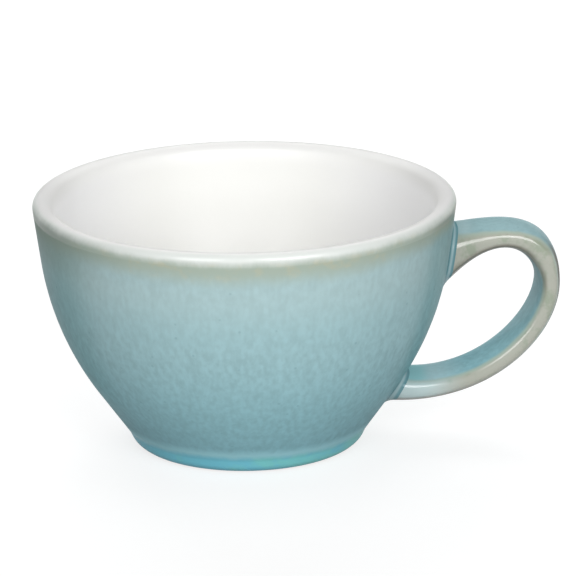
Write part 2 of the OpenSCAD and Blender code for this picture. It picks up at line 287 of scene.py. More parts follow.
class BowlOutline:
    """Outlines of the bowl, worked out from its sizes."""

    def __init__(self, sizes):
        self.sizes = sizes
        self.lip_radius = sizes.wall / 2
        self.lip_centre = sizes.rim_radius - self.lip_radius
        self.upper = normal_of(sizes.upper_lean)
        self.lower = normal_of(sizes.lower_lean)
        self.foot = normal_of(sizes.foot_lean)
        self.lip_rise = (1 + math.sin(sizes.upper_lean)) / math.cos(sizes.upper_lean)
        lip_corner = self.lip_centre + self.lip_radius * self.lip_rise
        edge = (1 - math.sin(sizes.foot_lean)) / math.cos(sizes.foot_lean)
        self.foot_corner = sizes.foot_radius + sizes.foot_edge * edge
        hollow_radius = self.foot_corner + sizes.foot_height * math.tan(sizes.foot_lean)
        self.hollow = Vector((hollow_radius, sizes.foot_height))
        upper_slope = math.tan(sizes.upper_lean)
        lower_slope = math.tan(sizes.lower_lean)
        gap = lip_corner - sizes.height * upper_slope - self.hollow.x + sizes.foot_height * lower_slope
        belly_height = gap / (lower_slope - upper_slope)
        self.belly = Vector((lip_corner - (sizes.height - belly_height) * upper_slope, belly_height))

    def outside(self, depth=0.0):
        """Outside, moved in by a depth, from the table up to the top of the lip."""
        s = self.sizes
        top = s.height - depth
        foot = Vector((self.foot_corner - depth / math.cos(s.foot_lean), 0))
        hollow = moved_corner(self.hollow, self.foot, self.lower, depth)
        belly = moved_corner(self.belly, self.upper, self.lower, depth)
        lip = Vector((self.lip_centre + (self.lip_radius - depth) * self.lip_rise, top))
        return spaced(corner_arc(Vector((0, 0)), foot, hollow, s.foot_edge - depth)
                      + corner_arc(foot, hollow, belly, s.foot_hollow + depth)
                      + corner_arc(hollow, belly, lip, s.belly_radius - depth)
                      + corner_arc(belly, lip, Vector((0, top)), self.lip_radius - depth))

    def inside(self, depth=0.0):
        """Inside, moved into the wall by a depth, from the top of the lip to the middle of the floor."""
        s = self.sizes
        top = s.height - depth
        floor = s.floor_height - depth
        fall = (1 - math.sin(s.upper_lean)) / math.cos(s.upper_lean)
        lip = Vector((self.lip_centre - (self.lip_radius - depth) * fall, top))
        belly = moved_corner(self.belly, self.upper, self.lower, s.wall - depth)
        corner = Vector((belly.x - (belly.y - floor) * math.tan(s.lower_lean), floor))
        belly_radius = s.belly_radius - s.wall + depth
        straight = (belly - corner).length - belly_radius * math.tan((s.lower_lean - s.upper_lean) / 2)
        most = min(straight, corner.x) * math.tan(math.pi / 4 + s.lower_lean / 2) - CURVE_CLEARANCE
        return spaced(corner_arc(Vector((2 * s.rim_radius, top)), lip, belly, self.lip_radius - depth)
                      + corner_arc(lip, belly, corner, belly_radius)
                      + corner_arc(belly, corner, Vector((0, floor)), min(s.floor_radius + depth, most))
                      + [Vector((0, floor))])

    def lined(self):
        """Face of the liner: the inside with the lip rolled softly into the bowl."""
        s = self.sizes
        points = []
        for point in self.inside():
            drop = s.height - point.y
            swell = s.lip_roll * (1 - math.exp(-drop / s.lip_roll)) * eased(max(0.0, 1 - drop / s.roll_depth))
            points.append(Vector((point.x - swell, point.y)))
        return points

    def recess(self, depth, height):
        """Recess under the floor, moved into the clay by a depth, from its middle down to a height."""
        s = self.sizes
        bore = s.foot_bore + depth / math.cos(s.recess_lean)
        ceiling = s.recess_height + depth
        edge = Vector((bore - height * math.tan(s.recess_lean), height))
        corner = Vector((bore - ceiling * math.tan(s.recess_lean), ceiling))
        middle = Vector((0, ceiling))
        return spaced([middle] + corner_arc(middle, corner, edge, s.recess_radius + depth) + [edge])


def spaced(outline):
    """Outline with points added so that no step is long."""
    points = [outline[0]]
    for here, there in zip(outline, outline[1:]):
        count = math.ceil((there - here).length / LONGEST_STEP)
        points += [here.lerp(there, step / count) for step in range(1, count + 1)]
    return points


def radius_on(outline, height):
    """Radius of an outline that climbs, at a height."""
    for here, there in zip(outline, outline[1:]):
        if here.y <= height <= there.y and there.y > here.y:
            return here.x + (there.x - here.x) * (height - here.y) / (there.y - here.y)
    raise ValueError(f"the outline has no point at height {height}")


def between(outline, low, high):
    """Stretch of a climbing outline between two heights."""
    return ([Vector((radius_on(outline, low), low))]
            + [point for point in outline if low < point.y < high]
            + [Vector((radius_on(outline, high), high))])


def coat_between(bowl, coat, low, high):
    """Closed outline of a coat on the outside of the bowl between two heights."""
    outer = between(bowl.outside(), low, high)
    bed = between(bowl.outside(coat), low, high)
    return outer + bed[::-1] + outer[:1]


# Shape of the handle


def cubic(points, share):
    """Point on a cubic curve through its first and last control points."""
    rest = 1 - share
    return (points[0] * rest ** 3 + points[1] * (3 * rest * rest * share)
            + points[2] * (3 * rest * share * share) + points[3] * share ** 3)


def heading(rise):
    """Direction, away from the wall, of an edge that rises by an angle."""
    return Vector((math.cos(rise), math.sin(rise)))


class StrapShape:
    """Handle strap: two edges in the bowl's middle plane, a rounded section, and ends coped to the wall."""

    def __init__(self, bowl, sizes):
        self.sizes = sizes
        self.fillets = (sizes.upper_fillet, sizes.lower_fillet)
        self.wall = bowl.outside()
        upper = sizes.upper_root
        lower = sizes.lower_root
        self.outer = self.edge(upper, sizes.upper_rise, sizes.reach,
                               sizes.underside_fall, lower, sizes.outer_pull)
        self.inner = self.edge(upper - sizes.upper_root_height, sizes.under_rise,
                               sizes.reach - sizes.thickness, sizes.inner_fall,
                               lower + sizes.lower_root_height, sizes.inner_pull)

    def edge(self, top, rise, reach, fall, bottom, pull):
        """Control points of one edge, from the wall at the top to the wall at the bottom."""
        start = Vector((radius_on(self.wall, top), top))
        middle = Vector((reach, self.sizes.middle))
        end = Vector((radius_on(self.wall, bottom), bottom))
        return [start, start + heading(rise) * pull[0], middle + Vector((0, pull[1])), middle,
                middle - Vector((0, pull[2])), end + heading(-fall) * pull[3], end]

    def edges(self, along):
        """Points of the outer and the inner edge, from 0 at the upper end to 1 at the lower end."""
        if along < 0.5:
            return [cubic(edge[:4], 2 * along) for edge in (self.outer, self.inner)]
        return [cubic(edge[3:], 2 * along - 1) for edge in (self.outer, self.inner)]

    def past_fillet(self, end):
        """Position along the strap where the fillet of its upper end, 0, or its lower end, 1, stops."""
        pull = 3 * end
        share = self.fillets[end] / (3 * (self.sizes.outer_pull[pull] + self.sizes.inner_pull[pull]))
        return abs(end - share)

    def flare(self, along):
        """How much each side of the strap widens towards its upper end."""
        away = along * 3 * (self.sizes.outer_pull[0] + self.sizes.inner_pull[0])
        return self.sizes.flare * math.exp(-away / self.sizes.flare_length)

    def full(self, value):
        """Cosine or sine, drawn out towards the corners of the section."""
        return math.copysign(abs(value) ** (2 / self.sizes.fullness), value)

    def bulge(self, end, y, z):
        """How far the round wall stands from the flat end of the strap."""
        outer, inner = self.edges(end)
        flat = inner.x + (outer.x - inner.x) * (z - inner.y) / (outer.y - inner.y)
        return math.sqrt(radius_on(self.wall, z) ** 2 - y * y) - flat

    def point(self, turn, along, depth=0.0):
        """Point of the strap's surface at a turn of its section and a position, moved in by a depth."""
        outer, inner = self.edges(along)
        half = (outer - inner) / 2
        middle = (outer + inner) / 2 + half * (self.full(math.cos(turn)) * (1 - depth / half.length))
        y = (self.sizes.half_width + self.flare(along) - depth) * self.full(math.sin(turn))
        weight = eased(max(0.0, 1 - min(along, 1 - along) / self.sizes.cope))
        bulge = weight * self.bulge(round(along), y, middle.y) if weight > 0 else 0.0
        return Vector((middle.x + bulge, y, middle.y))

    def wall_point(self, turn, end, spread, sink=0.0):
        """Point on the wall round one end of the strap, moved out by a spread and into the wall by a sink."""
        outer, inner = self.edges(end)
        half = (outer - inner) / 2
        z = (outer.y + inner.y) / 2 + half.y * self.full(math.cos(turn)) * (1 + spread / half.length)
        y = (self.sizes.half_width + spread) * self.full(math.sin(turn))
        return Vector((math.sqrt((radius_on(self.wall, z) - sink) ** 2 - y * y), y, z))

    def fillet_point(self, turn, end, share):
        """Point of the slip fillet, from 0 on the wall to 1 on the strap."""
        rest = 1 - share
        foot = self.wall_point(turn, end, self.fillets[end], self.sizes.fillet_sink)
        corner = self.wall_point(turn, end, 0.0)
        strap = self.point(turn, self.past_fillet(end))
        return foot * (rest * rest) + corner * (2 * rest * share) + strap * (share * share)


def section(point, *place):
    """Ring of points that one of the strap's methods gives for a place."""
    return [point(turn, *place) for turn in SECTION_TURNS]


# Modelling steps that the pieces share


def begin(name):
    """Names the object that was just added and opens it in edit mode."""
    piece = bpy.context.object
    piece.name = piece.data.name = name
    bpy.ops.object.mode_set(mode="EDIT")
    return piece


def new_outline(name, outline):
    """Starts a piece in edit mode as a line through points of radius and height."""
    bpy.ops.object.select_all(action="DESELECT")
    bpy.ops.mesh.primitive_plane_add(size=MERGE_DISTANCE)
    piece = begin(name)
    bpy.ops.mesh.merge(type="CENTER")
    bpy.ops.transform.translate(value=(outline[0].x, 0, outline[0].y))
    for here, there in zip(outline, outline[1:]):
        step = there - here
        if step.length > MERGE_DISTANCE:
            bpy.ops.mesh.extrude_region_move(TRANSFORM_OT_translate={"value": (step.x, 0, step.y)})
    return piece


def close_piece(piece):
    """Merges the seams of a piece in edit mode, turns its faces outwards and shades it smooth."""
    bpy.ops.mesh.select_all(action="SELECT")
    bpy.ops.mesh.remove_doubles(threshold=MERGE_DISTANCE)
    bpy.ops.mesh.normals_make_consistent(inside=False)
    bpy.ops.object.mode_set(mode="OBJECT")
    bpy.ops.object.shade_smooth_by_angle(angle=CREASE_ANGLE)
    return piece


def turned(name, outline):
    """Piece turned about the axis of the bowl from an outline."""
    piece = new_outline(name, outline)
    bpy.ops.mesh.select_all(action="SELECT")
    bpy.ops.mesh.spin(steps=TURN_STEPS, angle=math.tau, center=(0, 0, 0), axis=(0, 0, 1))
    return close_piece(piece)


def lofted(name, rings, across):
    """Closed piece through a row of rings; across holds a value for each ring, kept as an attribute."""
    bpy.ops.object.select_all(action="DESELECT")
    bpy.ops.mesh.primitive_circle_add(vertices=SECTION_SIDES, radius=rings[0][0].length)
    piece = begin(name)
    mesh = bmesh.from_edit_mesh(piece.data)
    mesh.verts.layers.float.new("across")
    side = mesh.verts.layers.int.new("side")
    for place, vert in enumerate(mesh.verts):
        vert[side] = place
    place_ring(piece, rings[0], across[0])
    for ring, value in zip(rings[1:] + rings[:1], across[1:] + across[:1]):
        bpy.ops.mesh.extrude_region_move()
        place_ring(piece, ring, value)
    return close_piece(piece)


def place_ring(piece, ring, value):
    """Puts the selected ring of a piece in edit mode in its place."""
    mesh = bmesh.from_edit_mesh(piece.data)
    side = mesh.verts.layers.int["side"]
    across = mesh.verts.layers.float["across"]
    for vert in mesh.verts:
        if vert.select:
            vert.co = ring[vert[side]]
            vert[across] = value
    bmesh.update_edit_mesh(piece.data)


def settle(piece, material, slot, *nodes):
    """Gives a finished piece its glaze and its place on the cup."""
    piece.data.materials.append(material)
    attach(piece, "root")
    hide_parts(*nodes)


# Finishes


class Look:
    """Look of one material, with a short call for each kind of node that the finishes share."""

    def __init__(self, name):
        self.material = bpy.data.materials.new(name)
        self.material.use_nodes = True
        self.tree = self.material.node_tree
        self.shader = next(node for node in self.tree.nodes if node.type == "BSDF_PRINCIPLED")
        self.place = self.node("ShaderNodeTexCoord").outputs["Object"]
        self.facing = self.node("ShaderNodeTexCoord").outputs["Normal"]

    def node(self, kind, **settings):
        """New node with its settings."""
        made = self.tree.nodes.new(kind)
        for name, value in settings.items():
            setattr(made, name, value)
        return made

    def feed(self, socket, value):
        """Links a socket to another, or sets it to a value."""
        if isinstance(value, bpy.types.NodeSocket):
            self.tree.links.new(value, socket)
        elif socket.type == "RGBA":
            socket.default_value = (*value, 1.0)
        else:
            socket.default_value = value

    def set(self, **sockets):
        """Sets or links the shader's sockets, named with underscores for spaces."""
        for name, value in sockets.items():
            self.feed(self.shader.inputs[name.replace("_", " ")], value)

    def math(self, operation, one, other=0.0):
        """Sum, product or other result of two values."""
        made = self.node("ShaderNodeMath", operation=operation)
        self.feed(made.inputs[0], one)
        self.feed(made.inputs[1], other)
        return made.outputs[0]

    def times(self, *values):
        """Product of two or more values."""
        product = values[0]
        for value in values[1:]:
            product = self.math("MULTIPLY", product, value)
        return product

    def parts(self, vector):
        """The three parts of a vector."""
        made = self.node("ShaderNodeSeparateXYZ")
        self.feed(made.inputs[0], vector)
        return made.outputs

    def kept(self, name):
        """Value that a piece keeps at each of its points."""
        return self.node("ShaderNodeAttribute", attribute_name=name).outputs["Fac"]

    def radius(self):
        """Distance from the cup's axis."""
        x, y, _ = self.parts(self.place)
        return self.math("SQRT", self.math("ADD", self.times(x, x), self.times(y, y)))

    def ramp(self, value, low, high, start=0.0, end=1.0):
        """Smooth step from start to end as a value goes from low to high."""
        made = self.node("ShaderNodeMapRange", interpolation_type="SMOOTHSTEP")
        for socket, given in zip(made.inputs, (value, low, high, start, end)):
            self.feed(socket, given)
        return made.outputs[0]

    def fall(self, value, low, high, start=1.0):
        """Smooth step from start down to 0 as a value goes from low to high."""
        return self.ramp(value, low, high, start, 0.0)

    def mix(self, share, one, other, blend="MIX"):
        """Colour a share of the way from one to the other, or another blend of them."""
        made = self.node("ShaderNodeMix", data_type="RGBA", blend_type=blend)
        for place, value in ((0, share), (6, one), (7, other)):
            self.feed(made.inputs[place], value)
        return made.outputs[2]

    def scaled(self, base, level):
        """Colour made lighter or darker by a level around 1, or tinted by a colour."""
        return self.mix(1.0, base, level, "MULTIPLY")

    def stretched(self, size, tall=1.0, shift=0.0):
        """Object coordinates counted in features of a size, drawn out upright."""
        made = self.node("ShaderNodeMapping")
        made.inputs["Location"].default_value = (shift, shift, shift)
        made.inputs["Scale"].default_value = (1 / size, 1 / size, 1 / (size * tall))
        self.feed(made.inputs[0], self.place)
        return made.outputs[0]

    def noise(self, size, tall=1.0, detail=2.0, roughness=0.5, shift=0.0):
        """Soft noise around 0.5 with features of a size in metres."""
        made = self.node("ShaderNodeTexNoise")
        self.feed(made.inputs["Vector"], self.stretched(size, tall, shift))
        made.inputs["Scale"].default_value = 1.0
        made.inputs["Detail"].default_value = detail
        made.inputs["Roughness"].default_value = roughness
        return made.outputs[0]

    def uneven(self, size, **settings):
        """Soft noise around 0."""
        return self.math("SUBTRACT", self.noise(size, **settings), 0.5)

    def spots(self, spacing, radius):
        """Share from 1 in the middle of scattered spots to 0 between them."""
        made = self.node("ShaderNodeTexVoronoi")
        self.feed(made.inputs["Vector"], self.stretched(spacing))
        made.inputs["Scale"].default_value = 1.0
        return self.fall(made.outputs["Distance"], radius * 0.5, radius)

    def bump(self, height, depth):
        """Feeds the shader's normal with a relief of a depth in metres."""
        made = self.node("ShaderNodeBump")
        made.inputs["Distance"].default_value = depth
        self.feed(made.inputs["Height"], height)
        self.feed(self.shader.inputs["Normal"], made.outputs[0])


# Depth of the fine relief, in metres
GLAZE_RELIEF = 0.00001
CLAY_RELIEF = 0.00004

# Strength of the gloss over the outside glaze
WALL_GLOSS = 0.1
BAND_GLOSS = 0.25
JOINT_GLOSS = 0.35

# Ranges of height in which the blue glaze changes, in metres
LOW_BLUE = (0.005, 0.014)
UPPER_BLUE = (0.010, 0.040)
CALMER_BLUE = (0.030, 0.044)
MILKY_BLUE = (0.036, 0.049)
# Heights where the painted shade strips at the cup's sides set in
PAINTED_STRIP_FOOT = (0.010, 0.022)

# Ranges of height from the lip line, from the turquoise band's top and from the lip's top, in metres
# Range below the lip line over which painted shade greys the blue on the far side
SHADE_GREY_RANGE = (-0.013, -0.003)
WHITE_START = -0.0006
EDGE_RANGE = (0.0, 0.0024)
POOL_RANGE = (-0.0016, 0.0003)
LIP_RANGE = (-0.005, -0.001)

# Growth of the bluer runs with the distance towards the handle, per metre
AZURE_SLOPE = -9.0

# Ranges of the distance towards the handle, in metres, negative on the far side, over which painted shade
# darkens the olive and the blue
FAR_SHADE_OLIVE = (-0.046, -0.024)
FAR_SHADE_GREY = (-0.046, -0.030)
NEAR_SHADE_OLIVE = (0.022, 0.040)

# Ranges of the distance towards the handle or away from it, in metres, and the least that a bearing takes
LEAST_SIDE = 0.005
LIP_CLIMB = (0.010, 0.047)
# The next four ranges: painted light inside the liner at the sides, painted shade on the lip's crest fading
# out at the sides, and painted shade on the lip's ends and on their outer face
SIDE_PAINTED_LIGHT = (0.015, 0.042)
CREST_SHADE_END = (0.030, 0.044)
LIP_END_SHADE = (0.034, 0.048)
OUTER_END_SHADE = (0.036, 0.046)
SHINE_END = (0.040, 0.046)


def blue_glaze(look, glaze, colours, milk=0.5):
    """Blue glaze: deeper towards the foot, milky under the olive, mottled, streaked and lightly specked."""
    height = look.parts(look.place)[2]
    low = look.mix(look.ramp(height, *LOW_BLUE), colours.blue_low, colours.blue_deep)
    base = look.mix(look.ramp(height, *UPPER_BLUE), low, colours.blue)
    upper = look.mix(look.ramp(height, *MILKY_BLUE, end=milk), base, colours.milky)
    mottle = look.times(look.noise(glaze.mottle, tall=1.5, shift=17.0), 0.58)
    clouds = look.times(look.noise(glaze.cloud, tall=1.5, detail=1.0), 0.18)
    streaks = look.times(look.noise(glaze.streak, tall=4.0, detail=1.0, shift=11.0), 0.24)
    light = look.math("ADD", mottle, look.math("ADD", clouds, streaks))
    tone = look.times(look.ramp(light, 0.3, 0.7, -glaze.tone, glaze.tone),
                      look.ramp(height, *CALMER_BLUE, 1.0, 0.6))
    toned = look.scaled(upper, look.math("ADD", tone, 1.0))
    return look.mix(look.times(look.spots(glaze.speck, 0.1), 0.25), toned, colours.speck)


def turquoise_glaze(look, colours):
    """Pooled turquoise glaze with bluer runs, bluest on the side away from the handle."""
    away = look.times(look.parts(look.place)[0], AZURE_SLOPE)
    runs = look.math("ADD", look.noise(0.006, tall=0.6, roughness=0.6, shift=21.0), away)
    return look.mix(look.ramp(runs, 0.32, 0.58), colours.turquoise, colours.azure)


def outside_glaze(look, glaze, colours):
    """Blue glaze that thins to olive and white at the lip and pools to turquoise at the foot, with painted
    shade at the cup's sides.
    """
    line = glaze.lip_line
    x, y, z = look.parts(look.place)
    sideways = look.math("ABSOLUTE", x)
    slow = look.times(look.uneven(0.009, detail=1.0, shift=3.0), 2.4)
    quick = look.times(look.uneven(0.0016, tall=1.6, roughness=0.6, shift=7.0), 1.2)
    wandering = look.math("ADD", z, look.times(look.math("ADD", slow, quick), glaze.wave))
    border = look.ramp(sideways, *LIP_CLIMB, line, line + glaze.lip_climb)
    from_lip = look.math("SUBTRACT", wandering, border)
    from_band = look.math("SUBTRACT", wandering, glaze.band_top)
    # Painted shade: darker upright strips on the wall at the cup's sides
    turn = look.math("DIVIDE", look.math("ABSOLUTE", y), look.math("MAXIMUM", sideways, LEAST_SIDE))
    painted_strip_shade = look.times(look.ramp(turn, 0.06, 0.44), look.fall(turn, 0.45, 0.9), look.ramp(z, *PAINTED_STRIP_FOOT))
    blue = look.scaled(blue_glaze(look, glaze, colours), look.mix(painted_strip_shade, (1.0, 1.0, 1.0), colours.painted_strip_shade))
    # Painted shade: greyer blue under the olive on the far side, and darker olive at both sides, most on the
    # far one
    far_side_shade = look.times(look.fall(x, *FAR_SHADE_GREY, 0.65), look.ramp(from_lip, *SHADE_GREY_RANGE))
    greyed_by_shade = look.mix(far_side_shade, blue, colours.olive_painted_shade)
    stains = look.noise(0.0035, tall=0.7, detail=3.0, roughness=0.6, shift=25.0)
    stained = look.mix(look.ramp(stains, 0.48, 0.72, end=0.6), colours.olive, colours.straw)
    deeper = look.math("ADD", look.fall(x, *FAR_SHADE_OLIVE, 0.9), look.ramp(x, *NEAR_SHADE_OLIVE, end=0.3))
    thin = look.mix(deeper, stained, colours.olive_painted_shade)
    olive = look.mix(look.ramp(from_lip, -glaze.olive_depth, WHITE_START), greyed_by_shade, thin)
    white = look.ramp(from_lip, WHITE_START, WHITE_START + glaze.lip_fade)
    lip = look.mix(white, olive, colours.white_cool)
    edge = look.mix(look.fall(from_band, *EDGE_RANGE), lip, colours.turquoise_pale)
    return look.mix(look.fall(from_band, *POOL_RANGE), edge, turquoise_glaze(look, colours))


def satin(look, colour_socket, gloss, blur=0.11):
    """Sets a glaze's colour, a thin glossy skin of a strength over its milky body, and its fine relief."""
    look.set(Base_Color=colour_socket, Roughness=0.5, Specular_IOR_Level=0.0, Coat_Weight=gloss,
             Coat_Roughness=blur, Coat_IOR=1.6)
    look.bump(look.noise(0.0012, shift=2.0), GLAZE_RELIEF)


def outside_finish(name, gloss, glaze, colours):
    """Outside glaze with a gloss."""
    look = Look(name)
    satin(look, outside_glaze(look, glaze, colours), gloss)
    return look.material


def liner_finish(bowl, glaze, colours):
    """White inside, glossy on the outside of the lip and stained where the outside glaze bleeds over it, with
    painted light inside at the sides and painted shade on the lip's crest and ends.
    """
    look = Look("white_liner_glaze")
    x, _, z = look.parts(look.place)
    _, away, upright = look.parts(look.facing)
    sideways = look.math("ABSOLUTE", x)
    outside = look.ramp(look.radius(), bowl.lip_centre, bowl.lip_centre + bowl.lip_radius * 0.9)
    lip = look.ramp(look.math("SUBTRACT", z, bowl.sizes.height), *LIP_RANGE)
    # Painted shade darkens the lip's ends, and painted light lightens the inside at the sides
    crest = look.mix(look.ramp(sideways, *LIP_END_SHADE), colours.white_lip, colours.white_lip_end_shade)
    hollow = look.mix(look.ramp(sideways, *SIDE_PAINTED_LIGHT), colours.white, colours.white_side_painted_light)
    # Painted shade on the lip's crest where it faces away from the front
    crest_shade = look.times(look.ramp(away, -0.35, 0.1, end=0.18), look.ramp(upright, 0.6, 0.95),
                      look.fall(sideways, *CREST_SHADE_END), lip)
    white = look.scaled(look.mix(lip, hollow, crest), look.math("SUBTRACT", 1.0, crest_shade))
    # Painted shade on the lip's outer face at the ends, where it turns sideways and down
    outer_end_shade = look.times(look.ramp(sideways, *OUTER_END_SHADE), look.fall(upright, 0.0, 0.6, 0.3))
    bled = look.scaled(outside_glaze(look, glaze, colours), look.math("SUBTRACT", 1.0, outer_end_shade))
    shine = look.times(outside, look.ramp(upright, 0.0, 0.3), look.ramp(sideways, *SHINE_END, 0.45, 0.06))
    look.set(Base_Color=look.mix(outside, white, bled), Roughness=0.4, IOR=1.5, Coat_Weight=shine,
             Coat_Roughness=0.12, Coat_IOR=1.5)
    look.bump(look.noise(0.002, detail=1.0, shift=4.0), GLAZE_RELIEF)
    return look.material


def handle_finish(glaze, colours):
    """Blue on the broad faces of the strap, sandy along its sides, umber along the edges of the sides, with
    painted shade on the blue and on some edges and a painted highlight near the lower end.
    """
    look = Look("handle_reactive_glaze")
    along = look.kept("across")
    outward, sidelong, upright = look.parts(look.facing)
    rough = look.times(look.uneven(0.003, detail=3.0, roughness=0.6, shift=9.0), 0.2)
    side = look.math("ADD", look.math("ABSOLUTE", sidelong), rough)
    # Painted shade: the blue is darkened all over, most on the inner face that faces the cup
    shade = look.ramp(outward, -0.95, -0.3, 0.73, 0.80)
    shaded_thick_blue = look.scaled(blue_glaze(look, glaze, colours, 0.0), shade)
    faded = look.mix(look.ramp(along, 0.82, 0.93, end=0.25), shaded_thick_blue, colours.blue_pale)
    milky = look.mix(look.fall(along, 0.03, 0.08, 0.35), faded, colours.blue_pale)
    corner = look.mix(0.45, colours.pooled, colours.turquoise)
    blue = look.mix(look.ramp(along, 0.925, 0.96), milky, corner)
    stains = look.noise(0.0045, detail=3.0, roughness=0.6, shift=31.0)
    sand = look.mix(look.ramp(stains, 0.45, 0.62, end=0.8), colours.sand, colours.moss)
    edge = look.mix(look.ramp(side, 0.35, 0.65), blue, colours.olive)
    face = look.mix(look.ramp(side, 0.6, 0.86), edge, sand)
    # Paler blue on the sides near the lower joint, partly the glaze there and partly a painted highlight
    wash_and_highlight = look.times(look.ramp(along, 0.84, 0.95, end=0.85), look.ramp(side, 0.5, 0.8, 0.35))
    washed_and_highlit = look.mix(wash_and_highlight, face, colours.blue_pale)
    # Umber where the glaze breaks at the edges, deepened as painted shade under the strap and on edges that
    # face the cup
    tilt = look.math("ADD", upright, look.ramp(along, 0.4, 0.6, end=0.25))
    under = look.times(look.fall(tilt, -0.65, -0.12, 0.8), look.ramp(side, 0.25, 0.45))
    outer = look.times(look.ramp(outward, 0.65, 0.92, end=0.85), look.ramp(side, 0.12, 0.26),
                       look.fall(side, 0.45, 0.6))
    inner = look.times(look.fall(outward, -0.75, -0.15, 0.55), look.fall(upright, -0.1, 0.35),
                       look.ramp(side, 0.35, 0.6))
    thin = look.math("MAXIMUM", look.math("MAXIMUM", under, outer), inner)
    satin(look, look.mix(thin, washed_and_highlit, colours.umber), look.ramp(side, 0.3, 0.7, 0.2), 0.16)
    return look.material


def joint_finish(glaze, colours):
    """Glaze pooled in the corner between the wall and the strap, with a paler crest."""
    look = Look("pooled_joint_glaze")
    across = look.kept("across")
    crest = look.times(look.ramp(across, 0.42, 0.6), look.fall(across, 0.7, 0.9, 0.45))
    pooled = look.mix(crest, colours.pooled_deep, colours.blue_pale)
    blue = blue_glaze(look, glaze, colours)
    satin(look, look.mix(look.ramp(across, 0.0, 0.15), blue, pooled), JOINT_GLOSS)
    return look.material


def clay_finish(colours):
    """Bare fired clay with a fine grain."""
    look = Look("fired_clay")
    grain = look.noise(0.0006, detail=4.0, roughness=0.65)
    mixed = look.mix(look.ramp(grain, 0.5, 0.75, end=0.7), colours.clay, colours.clay_dark)
    look.set(Base_Color=mixed, Roughness=look.ramp(grain, 0.3, 0.7, 0.75, 0.9), IOR=1.45)
    look.bump(grain, CLAY_RELIEF)
    return look.material


# Operators, one for each piece or group of like pieces


def given(context):
    """Outline of the bowl, sizes of the glazes and colours that the scene holds."""
    scene = context.scene
    return BowlOutline(scene.cup_bowl), scene.cup_glaze, scene.cup_colours


class CUP_OT_clay(bpy.types.Operator):
    """Gives the clay bowl and the clay strap their bare fired finish"""

    bl_idname = "cup.clay"
    bl_label = "Finish the Clay"

    def execute(self, context):
        clay = clay_finish(context.scene.cup_colours)
        for name in ("bowl", "handle"):
            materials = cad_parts[name].data.materials
            materials.clear()
            materials.append(clay)
        return {"FINISHED"}


class CUP_OT_liner(bpy.types.Operator):
    """Models the white liner coat inside the cup and over its lip"""

    bl_idname = "cup.liner"
    bl_label = "Model the Liner Coat"

    def execute(self, context):
        bowl, glaze, colours = given(context)
        top = bowl.sizes.height
        lip = between(bowl.outside(), glaze.lip_line, top)
        lip_bed = between(bowl.outside(glaze.coat), glaze.lip_line, top - glaze.coat)
        outline = bowl.lined()[::-1] + lip[::-1] + lip_bed + bowl.inside(glaze.coat)
        piece = turned("liner_coat", outline)
        settle(piece, liner_finish(bowl, glaze, colours), "white_glaze", "liner_glaze")
        return {"FINISHED"}


class CUP_OT_wall(bpy.types.Operator):
    """Models the blue coat on the outside wall"""

    bl_idname = "cup.wall"
    bl_label = "Model the Wall Coat"

    def execute(self, context):
        bowl, glaze, colours = given(context)
        piece = turned("wall_coat", coat_between(bowl, glaze.coat, glaze.band_top, glaze.lip_line))
        finish = outside_finish("blue_reactive_glaze", WALL_GLOSS, glaze, colours)
        settle(piece, finish, "blue_glaze", "wall_glaze")
        return {"FINISHED"}


class CUP_OT_foot(bpy.types.Operator):
    """Models the turquoise band at the foot and the coat in the recess under it"""

    bl_idname = "cup.foot"
    bl_label = "Model the Foot Coats"

    def execute(self, context):
        bowl, glaze, colours = given(context)
        band = coat_between(bowl, glaze.coat, glaze.bare_edge, glaze.band_top)
        ceiling = bowl.recess(0.0, glaze.bare_edge) + bowl.recess(glaze.coat, glaze.bare_edge)[::-1]
        for name, outline, place in (("foot", band, "band"), ("base", ceiling, "base")):
            piece = turned(name + "_coat", outline)
            finish = outside_finish(f"turquoise_{place}_glaze", BAND_GLOSS, glaze, colours)
            settle(piece, finish, "turquoise_glaze", name + "_glaze")
        return {"FINISHED"}


class CUP_OT_handle(bpy.types.Operator):
    """Models the coat on the handle's strap"""

    bl_idname = "cup.handle"
    bl_label = "Model the Handle Coat"

    def execute(self, context):
        bowl, glaze, colours = given(context)
        strap = StrapShape(bowl, context.scene.cup_handle)
        first = strap.past_fillet(0)
        last = strap.past_fillet(1)
        along = [first + (last - first) * ring / STRAP_RINGS for ring in range(STRAP_RINGS + 1)]
        outside = [section(strap.point, place) for place in along]
        inside = [section(strap.point, place, glaze.coat) for place in along[::-1]]
        piece = lofted("handle_coat", outside + inside, along + along[::-1])
        settle(piece, handle_finish(glaze, colours), "handle_glaze", "handle_glaze")
        return {"FINISHED"}


class CUP_OT_joints(bpy.types.Operator):
    """Models the slip fillets where the handle meets the wall"""

    bl_idname = "cup.joints"
    bl_label = "Model the Slip Fillets"

    def execute(self, context):
        bowl, glaze, colours = given(context)
        strap = StrapShape(bowl, context.scene.cup_handle)
        finish = joint_finish(glaze, colours)
        shares = [ring / FILLET_RINGS for ring in range(FILLET_RINGS + 1)]
        for end, name in enumerate(("upper_slip", "lower_slip")):
            rings = [section(strap.fillet_point, end, share) for share in shares]
            rings.append(section(strap.point, strap.past_fillet(end), glaze.coat))
            rings.append(section(strap.wall_point, end, -glaze.coat, glaze.coat))
            rings.append(section(strap.wall_point, end, strap.fillets[end], glaze.coat))
            piece = lofted(name + "_fillet", rings, shares + [1.0, 0.5, 0.0])
            settle(piece, finish, "slip", name + "_joint")
        return {"FINISHED"}


